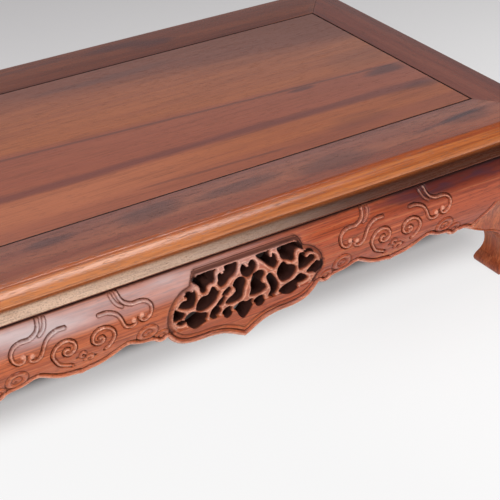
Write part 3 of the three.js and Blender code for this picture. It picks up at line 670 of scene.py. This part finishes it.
# Scroll work of one side of a unit, as [from the unit's middle, depth]
CLOUD_LINE = [[20, 23.4], [21, 26.9], [23, 29.1], [26.5, 30.5], [30.5, 30.5], [33.9, 31.5], [35.8, 33.7],
              [36, 36], [35.1, 38.6], [32.8, 40.4], [30.5, 40], [29.4, 38.4]]
SIDE_LINE = [[16.9, 24.2], [17.5, 26.4], [18.9, 28.6], [21.2, 30.2]]
TENDRIL = [[8.8, 30.6], [12.4, 30.6], [15.7, 31.6], [18.2, 33.4], [19.7, 35.9], [20.7, 38.6],
           [22.1, 40.8], [24.8, 41.7], [27, 40.8], [27.3, 39.8]]
SPIRAL = [[14.2, 47], [15.7, 44.3], [15.9, 41.9], [14.7, 39.4], [12.5, 37.8], [9.9, 37.1], [7.1, 37.6],
          [5, 39.3], [4.4, 41.8], [5.3, 43.9], [7.4, 45], [9.5, 44.5], [10.3, 42.9], [9.2, 41.6],
          [7.9, 42]]
LONG_TAIL = [[14.2, 47], [12.8, 49.2], [10.2, 50.9], [7.1, 52.3], [5.2, 53.6]]
SHORT_TAIL = [[14.2, 47], [12.8, 48.6], [11.2, 49.4]]
SPIKE = [[23.4, 49.6], [23.4, 52.6]]
# Two small curls under a unit, and the pits pricked round them
CURLS = [[[-0.2, 49.8], [-1.5, 49], [-1.7, 47.6], [-0.5, 46.9], [0.5, 47.7]],
         [[1.0, 52.3], [2.4, 50.8], [4.0, 50.6], [4.9, 51.8], [4.1, 53]]]
PITS = [(-3.6, 49.2), (-0.6, 48.4), (2.9, 52.1), (0.9, 50.2), (-5.6, 52.8), (6.6, 51.6)]
# Round knobs at the ends of the scrolls, dots as (from the middle, depth, rise), and rings as (from the
# middle, depth, radius, squeeze, shape of the bead)
KNOBS, KNOB_RADIUS = [(30.4, 37.2), (26, 38.5)], 1.3
DOTS = [(34.4, 50.2, -0.7), (32.8, 49, 0.35)]
RINGS = [(33.9, 49.6, 3.7, 0.86, (0.4, 0.6, 0.7, 1.4)), (42.6, 55.4, 3.0, 1.0, (0.35, 0.5, 0.65, 1.3))]
BEADED_BELOW, MOST_RELIEF = 46, 0.95


def bead(gap, rise=0.8, cut=1.0, width=0.44, beside=0.92, spread=0.30):
    """A rounded bead along a line, with a cut beside it and ground that slopes back to the face"""
    ground = 0.25 * np.exp(-gap / 1.6) * (gap > beside)
    return rise * hump(gap, 0, width) - (cut * hump(gap, beside, spread) + ground)


def carved_unit(relief, u, depth, tail):
    """One side of a scroll unit, its scrolls cut deeper on their outer side so that they stand up"""
    gap = np.full(u.shape, 1e6)
    outer = np.zeros(u.shape)
    for line, outer_side in ((CLOUD_LINE, -1), (TENDRIL, -1), (SPIRAL, 1), (tail, -1)):
        near, side_of = nearest(drawn(line, 4), u, depth, window=6, sides=True)
        closer = near < gap
        outer = np.where(closer, side_of * outer_side, outer)
        gap = np.where(closer, near, gap)
    relief += np.where(gap < 6, bead(gap, cut=np.where(outer > 0, 1.15, 0.55)), 0)
    gap = nearest(drawn(SIDE_LINE, 4), u, depth, window=3)
    relief += np.where(gap < 3, bead(gap, 0.6, 0.6, 0.40, 0.85), 0)
    for at, down in KNOBS:
        away = np.hypot(u - at, depth - down)
        knob = MOST_RELIEF * np.exp(-(away / KNOB_RADIUS) ** 4)
        relief = np.where(away < 1.6, np.maximum(relief, knob), relief)
    for at, down, radius, squeeze, shape in RINGS:
        gap = np.abs(np.hypot((u - at) * squeeze, depth - down) - radius)
        relief += np.where(gap < 3, bead(gap, *shape), 0)
    for at, down, rise in DOTS:
        relief += rise * hump(np.hypot(u - at, depth - down), 0, 0.9)
    gap = nearest(SPIKE, u, depth, window=3)
    return relief + np.where(gap < 3, 0.4 * hump(gap, 0, 0.6), 0)


def carved_height(side, along, depth, edge_gap):
    """Relief of an apron face in millimetres: beads stand up, the lines beside them are cut in"""
    relief = np.zeros(along.shape)
    for centre in [UNIT_CENTRE, -UNIT_CENTRE] if side is LONG_SIDE else [0]:
        for hand, tail in ((1, SHORT_TAIL), (-1, LONG_TAIL)):
            relief = carved_unit(relief, (along - centre) * hand, depth, tail)
        for line in CURLS:
            gap = nearest(drawn(line, 4), along - centre, depth, window=4)
            relief += np.where(gap < 4, bead(gap, 0.6, 0.5, 0.55, 1.1), 0)
        for at, down in PITS:
            relief -= 0.7 * hump(np.hypot(along - centre - at, depth - down), 0, 0.85)
    lower = depth > BEADED_BELOW
    edge_bead = bead(np.abs(edge_gap - 1.1), 0.6, 1.05, 0.8, 1.55, 0.42)
    relief += np.where(lower & (edge_gap < 6), edge_bead, 0)
    relief -= np.where(lower, 0.5 * falling(edge_gap, 0.8) ** 2, 0)
    return np.minimum(relief, MOST_RELIEF)


def opened(openings, along, depth):
    """How far each point lies from the nearest opening, below zero inside it"""
    hole_gap = np.full(along.shape, 1e3)
    for opening in openings:
        ring = drawn(opening, 5, closed=True)
        near = nearest(ring, along, depth, closed=True, window=6)
        signed = np.where(enclosed(ring, along, depth), -near, near) - HOLE_GROWTH
        hole_gap = np.minimum(hole_gap, signed)
    for tip in TIPS if openings else []:
        tip_gap = nearest(drawn(tip, 4), along, depth, window=4)
        hole_gap = np.maximum(hole_gap, TIP_HALF_WIDTH - tip_gap)
    return hole_gap


def sunk_panel(relief, along, depth, edge_gap, hole_gap):
    """Sinks the pierced panel inside its frame line, leaves a lip round it and rounds the strands over"""
    frame_line = drawn(PANEL_FRAME, 4)
    frame_gap = nearest(frame_line, along, depth, window=9)
    within = enclosed(frame_line, along, depth)
    lipped = rising(59 - depth, 3.0)
    strand = rising(frame_gap - 2.7, 0.5) * within
    sunk = np.where(within, rising(frame_gap, 0.8), 0) * -0.9 * rising(62.5 - depth, 4.0)
    lip = np.where(within, 0.95 * hump(frame_gap, 2.55, 0.55), 0) * lipped
    line = -0.45 * hump(frame_gap, 0.3, 0.5)
    round_off = -1.3 * falling(np.maximum(hole_gap, 0), 1.1) ** 2 * strand
    relief = np.where(within & (frame_gap > 0.9) & (depth < 60), 0, relief)
    relief += sunk + lip + line + round_off
    second_line = hump(edge_gap, 4.8, 0.55) * (np.abs(along) < 42) * (depth > 55)
    relief -= 0.65 * second_line
    return relief, {"gap": frame_gap, "within": within, "lipped": lipped, "strand": strand}


def wax_shade_and_highlight(depth, relief, edge_gap, hole_gap, panel):
    """How dark with old wax and painted shade each point is, and how light with wear and painted highlight
    its tops are
    """
    cut = rising(-relief - 0.2, 0.6) * 0.8
    # Painted shadow: a dark band along the top of the apron, under the lip of the waist strip.
    cut = np.maximum(cut, rising(23.5 - depth, 0.8) * np.maximum(rising(depth - 20.6, 0.8), 0.5))
    # Rubbed wear and painted highlight: the tops of the beads and of the beaded lower edge are lightened.
    ridge = rising(relief - 0.25, 0.45)
    ridge = np.maximum(ridge, hump(edge_gap, 0.8, 0.6) * (depth > 50))
    if panel:
        upper = depth < 31
        field = panel["within"] & (depth < 60)
        # Painted shade in the frame line, in the sunk band round the pierced panel and along the edges of
        # the openings.
        line = np.where(upper, 0.95, 0.8) * hump(panel["gap"], 0.3, 0.45)
        line += np.where(upper, 0.3, 0.5) * hump(panel["gap"], 1.25, 0.75)
        band = rising(panel["gap"] - 0.5, 0.5) * rising(2.45 - panel["gap"], 0.35)
        line = np.maximum(line, np.where(upper, 0.78, 0.0) * band)
        cut = np.where(field, line + 0.55 * falling(hole_gap, 0.45), cut)
        # Painted highlight on the tops of the strands and on the lip round the pierced panel.
        strand_top = hump(hole_gap, 0.95, 0.45) * panel["strand"]
        lip_top = hump(panel["gap"], 2.75, 0.45) * panel["lipped"]
        ridge = np.where(field, np.maximum(1.15 * strand_top, 0.8 * lip_top), ridge)
    return cut, ridge


def cells_of(wood):
    """The cells of the net that are wood, and how many meet at each point. Where two would touch at a
    corner only, a third joins them."""
    kept = (wood[:-1, :-1] + wood[1:, :-1] + wood[:-1, 1:] + wood[1:, 1:]) / 4 > 0
    crossing = kept[:-1, :-1] & kept[1:, 1:] & ~kept[:-1, 1:] & ~kept[1:, :-1]
    kept[:-1, 1:] |= crossing
    crossing = kept[:-1, 1:] & kept[1:, :-1] & ~kept[:-1, :-1] & ~kept[1:, 1:]
    kept[:-1, :-1] |= crossing
    rows, columns = kept.shape
    touched = np.zeros(wood.shape, int)
    for dr in (0, 1):
        for dc in (0, 1):
            touched[dr:rows + dr, dc:columns + dc] += kept
    return kept, touched


NET_PITCH, TILES = 0.42, (16, 8, 4)


def plain_back(kept, index, inner):
    """The back, in square tiles where they fit among the inner columns and in single cells elsewhere"""
    rows, columns = kept.shape
    bare = kept.copy()
    groups = []
    for size in TILES:
        tiles = []
        for r in range(0, rows - size, size):
            for c in range(0, columns - size, size):
                if inner[c] and inner[c + size] and bare[r:r + size, c:c + size].all():
                    bare[r:r + size, c:c + size] = False
                    over, under = index[r, c:c + size], index[r + size, c + 1:c + size + 1]
                    right, left = index[r:r + size, c + size], index[r + 1:r + size + 1, c]
                    tiles.append(np.concatenate([over, right, under[::-1], left[::-1]])[::-1])
        groups.append(np.array(tiles))
    r, c = np.nonzero(bare)
    cells = np.column_stack([index[r, c], index[r + 1, c], index[r + 1, c + 1], index[r, c + 1]])
    return [cells, *groups]


def carved_apron(name, side, degrees, openings, finish):
    """A board whose face is a fine net of points, pushed out to the bulge and the carving"""
    half = side["half"] - SHOULDER_START
    outline = apron_outline(side)
    lowest = outline[:, 1].max()
    xs = np.linspace(-half - NET_PITCH, half + NET_PITCH, int(round(2 * half / NET_PITCH)) + 3)
    ds = np.linspace(APRON_TOP - NET_PITCH * 0.5, lowest + NET_PITCH,
                     int(round((lowest - APRON_TOP) / NET_PITCH)) + 3)
    along, depth = np.meshgrid(xs, ds)
    gap = nearest(outline, along, depth, closed=True)
    wood = np.where(enclosed(outline, along, depth), gap, -gap)
    edge_gap = np.maximum(wood, 0)
    hole_gap = opened(openings, along, depth)
    wood = np.minimum(wood, hole_gap)
    relief = carved_height(side, along, depth, edge_gap)
    panel = None
    if openings:
        relief, panel = sunk_panel(relief, along, depth, edge_gap, hole_gap)
    kept, touched = cells_of(wood)

    # Points on a rim slide onto the drawn outline.
    slope_d, slope_x = np.gradient(wood, ds, xs)
    steep = np.maximum(slope_d ** 2 + slope_x ** 2, 0.25)
    rim = (touched > 0) & (touched < 4)
    move = np.clip(wood, -NET_PITCH * 0.8, NET_PITCH * 0.8)
    along = np.where(rim, along - move * slope_x / steep, along)
    depth = np.where(rim, depth - move * slope_d / steep, depth)
    depth = np.maximum(depth, APRON_TOP)

    # The face, the back and, along every rim, a row of points just behind the face.
    used = touched > 0
    count = int(used.sum())
    index = np.full(along.shape, -1)
    index[used] = np.arange(count)
    x, d = along[used], depth[used]
    swell = np.interp(d, bulge[:, 0], bulge[:, 1])
    back_in = np.minimum(APRON_BACK, side["half"] - np.abs(x) - 0.3)
    front = np.column_stack([x, -side["reach"] - swell - relief[used], TOP - d])
    behind = np.column_stack([x, -side["reach"] + back_in, TOP - d])
    r, c = np.nonzero(kept)
    face = np.column_stack([index[r, c], index[r, c + 1], index[r + 1, c + 1], index[r + 1, c]])
    cells, *tiles = [group + count for group in plain_back(kept, index, np.abs(xs) < half - APRON_BACK - 6)]
    pairs = np.vstack([face[:, [0, 1]], face[:, [1, 2]], face[:, [2, 3]], face[:, [3, 0]]])
    key = np.sort(pairs, axis=1)
    _, first, times = np.unique(key[:, 0] * count + key[:, 1], return_index=True, return_counts=True)
    start, end = pairs[first[times == 1]].T
    rim_of = np.unique([start, end])
    ring = np.full(count, -1)
    ring[rim_of] = np.arange(len(rim_of)) + 2 * count
    just_behind = front[rim_of] + [0, 0.9, 0]
    walls = np.vstack([
        np.column_stack([end, start, ring[start], ring[end]]),
        np.column_stack([ring[end], ring[start], start + count, end + count]),
    ])

    # Points of the back that lie within a tile are left out.
    groups = [face, cells, walls, *tiles]
    points = np.unique(np.concatenate([group.ravel() for group in groups]))
    renumbered = np.full(2 * count + len(rim_of), -1)
    renumbered[points] = np.arange(len(points))
    vertices = turned(np.vstack([front, behind, just_behind]), degrees)[points]
    faces = [corners for group in groups for corners in renumbered[group].tolist()]
    cut, ridge = wax_shade_and_highlight(depth, relief, edge_gap, hole_gap, panel)
    # Painted shade: the walls and back round the openings are painted nearly black, the other rim walls a
    # little darker.
    near_opening = hole_gap[used] < 2
    cut = np.concatenate([cut[used], np.where(near_opening, 0.93, 0.0), np.where(near_opening[rim_of], 0.93, 0.1)])[points]
    ridge = np.concatenate([ridge[used], np.zeros(count + len(rim_of))])[points]
    mesh = new_mesh(name, vertices, faces, {"cut": cut, "ridge": ridge})
    return add_piece(name, mesh, finish, 62)


CARVED_RED, CARVED_DEEP, RIGHT_SHADED_RED = (0.51, 0.122, 0.038), (0.38, 0.078, 0.026), (0.41, 0.070, 0.024)
STRAIGHT_LINE, PALE_LINE, CARVED_LINE = (0.16, 0.026, 0.012), (0.66, 0.215, 0.085), (0.075, 0.014, 0.008)
MAROON_SHADE, INKY, RUBBED_AND_HIGHLIGHT = (0.075, 0.007, 0.007), (0.04, 0.018, 0.038), (0.84, 0.41, 0.28)


def carved_finish(name, grain):
    """Apron and leg wood: orange red with straight dark lines. The long aprons are painted darker towards
    the right and maroon at the upper right, both painted shade, and pale at the upper left, a painted
    sheen."""
    wood = Rosewood(name, grain, 0.36)
    colour = wood.noise(200, 7, 3.0, 3.1, 0.4).step(0.38, 0.62).blend(CARVED_RED, CARVED_DEEP)
    if grain == 0:
        # Painted shade: a long apron's red is darker towards the right, where less light falls.
        colour = ((wood.x - 20).step(-70, 60) * 0.8).blend(colour, RIGHT_SHADED_RED)
    thin = wood.noise(110, 1.6, 4.0, 8.4, 0.5).step(0.50, 0.68)
    colour = (thin * 0.62).blend(colour, STRAIGHT_LINE)
    pale = wood.noise(70, 1.8, 4.0, 12.3, 0.5).step(0.50, 0.68)
    colour = (pale * 0.5).blend(colour, PALE_LINE)
    sheen_mask = None
    if grain == 0:
        # Painted shadow of the overhanging top: the upper right of a long apron turns dark maroon, with
        # dark bluish spots.
        maroon_shade = (wood.x - 62).step(0, 50) * (wood.z - 66).step(-2, 9)
        colour = (maroon_shade * 0.9).blend(colour, MAROON_SHADE)
        colour = (maroon_shade * wood.noise(26, 5, 2.0, 6.1).step(0.52, 0.66) * 0.6).blend(colour, INKY)
        # Painted sheen: a pale reflection painted on the upper bulge at the left of a long apron, kept out
        # of the cuts.
        sheen_mask = (16 - wood.x).step(-30, 60) * (wood.z - 68).step(-6, 4) * (79 - wood.z).step(0, 5)
        sheen_mask = sheen_mask * (0.62 + wood.ragged * 1.5) * (1 - wood.painted("cut"))
    # Rubbed wear and painted highlight: the painted 'ridge' tops turn pale.
    colour = (wood.painted("ridge") * 0.66).blend(colour, RUBBED_AND_HIGHLIGHT)
    return wood.wax(colour, CARVED_LINE, 0.5, 0.5, 0.31, sheen_mask)


carved_wood = carved_finish("carved_rosewood_long", 0)
for side_name, degrees, side in SIDES[::2]:
    apron = carved_apron("apron_" + side_name + "_carved", side, degrees, OPENWORK, carved_wood)
    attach(apron, "root")
    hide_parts("apron_" + side_name)


# Short aprons: the same board at the two ends, with one scroll unit in the middle and no piercing. Each end
# of every apron is cut on a slant and tenoned into the leg's shoulder.
end_wood = carved_finish("carved_rosewood_short", 1)
for side_name, degrees, side in SIDES[1::2]:
    apron = carved_apron("apron_" + side_name + "_carved", side, degrees, [], end_wood)
    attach(apron, "root")
    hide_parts("apron_" + side_name)


# Legs: short, sawn from thick stock and curved inward, square in section with a turned-in hoof. Each has a
# slanted shoulder under the aprons with a small wing to each side, and a post that runs up inside the waist
# to two tenons in the rails.
LEG_BODY, WINGS_TO_DEPTH, CORNER_RADIUS = 22.2, 75, 1.2
POST, POST_DEPTHS = (9.8, 21.6), (RAIL_THICKNESS, 58)
TENON_WIDTH, TENON_THICKNESS, TENON_DEPTHS = (15, 20.6), (10.4, 13.2), (8, 13)
SOLE_EDGE = {TOP - 0.15: 0.985, TOP: 0.965}
leg_inner = drawn([[WING_END - SEAM_HALF_GAP, WING_END_DEPTH], [42, 63.4], [36, 66], [30, 68.3],
                   [25, 70.9], [21.8, 74], [19.4, 77.7], [18.1, 81.9], [17.9, 86.5], [18.9, 91],
                   [20.7, 95], [21.5, 97.8], [21, TOP]], 6)
knee = np.column_stack([-bulge[:, 1], bulge[:, 0]])[bulge[:, 0] < 59]
shin = drawn([[-0.5, 60], [0.2, 64], [1.2, 70], [2.5, 76], [3.1, 82], [2.5, 88], [1, 93.6], [0.1, 97],
              [0.4, TOP]], 6)
leg_outer = np.vstack([knee, shin])


def mirrored_plan(points):
    return [[b, a] for a, b in points[::-1]]


def leg_section(depth):
    """The plan of a leg at one depth, as [inward along one face, inward along the other]. Below the
    shoulder each face has a bead along its inner edge."""
    near = float(np.interp(depth, leg_outer[:, 1], leg_outer[:, 0]))
    if depth <= WING_END_DEPTH:
        far = seam_at(depth) - SEAM_HALF_GAP
    else:
        far = float(np.interp(depth, leg_inner[:, 1], leg_inner[:, 0]))
    body = min(LEG_BODY, far)
    wing = far - 0.01 if depth > WINGS_TO_DEPTH else min(APRON_BACK, far - 0.01)
    radius = min(CORNER_RADIUS, (far - near) * 0.3)
    face = []
    for share in np.linspace(1, 0, 40):
        along = near + radius + (far - near - radius) * share
        gap = far - along
        rise = 0.0
        if depth > WING_END_DEPTH - 1 and far - near > 8:
            fade = min(1.0, (depth - WING_END_DEPTH + 1) / 2) * min(1.0, max(0.0, (TOP - 3 - depth) / 3))
            rise = fade * (0.5 * hump(gap, 2.2, 0.5) - 0.25 * hump(gap, 1.0, 0.8))
        face.append([along, near + rise])
    corner = [[near + radius - radius * math.sin(a), near + radius - radius * math.cos(a)]
              for a in np.radians(range(15, 76, 15))]
    back = [[near + 0.4, far], [wing - 0.3, far], [wing, far - 0.3], [wing, (far + body) / 2], [wing, body]]
    return [*face, *corner, *mirrored_plan(face), *back, [body, body], *mirrored_plan(back)]


levels = np.concatenate([np.linspace(20.8, WING_END_DEPTH, 50),
                         np.linspace(WING_END_DEPTH, TOP - 0.5, 56)[1:], list(SOLE_EDGE)])
vertices = []
for level in levels:
    section = np.array(leg_section(min(level, TOP - 0.5)))
    middle = section.mean(axis=0)
    plan = middle + (section - middle) * SOLE_EDGE.get(level, 1.0)
    vertices += [[a, b, TOP - level] for a, b in plan]
faces = sleeve(len(section), len(levels))
for (a0, a1), (b0, b1), depths in ((POST, POST, POST_DEPTHS), (TENON_WIDTH, TENON_THICKNESS, TENON_DEPTHS),
                                   (TENON_THICKNESS, TENON_WIDTH, TENON_DEPTHS)):
    start = len(vertices)
    corners = (a0, b0), (a1, b0), (a1, b1), (a0, b1)
    vertices += [[a, b, TOP - level] for level in depths for a, b in corners]
    faces += [[start + point for point in face] for face in sleeve(4, 2)]
leg_wood = carved_finish("carved_rosewood_leg", 2)
for leg_name, sx, sy, degrees in (("front_right", 1, -1, 0), ("back_right", 1, 1, 90),
                                  ("back_left", -1, 1, 180), ("front_left", -1, -1, 270)):
    placed = turned(np.array(vertices) * [-1, 1, 1], degrees) + [sx * FLAT_HALF_X, sy * FLAT_HALF_Y, 0]
    leg = new_piece("leg_" + leg_name + "_curved", placed, faces, leg_wood, 40)
    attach(leg, "root")
    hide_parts("leg_" + leg_name)
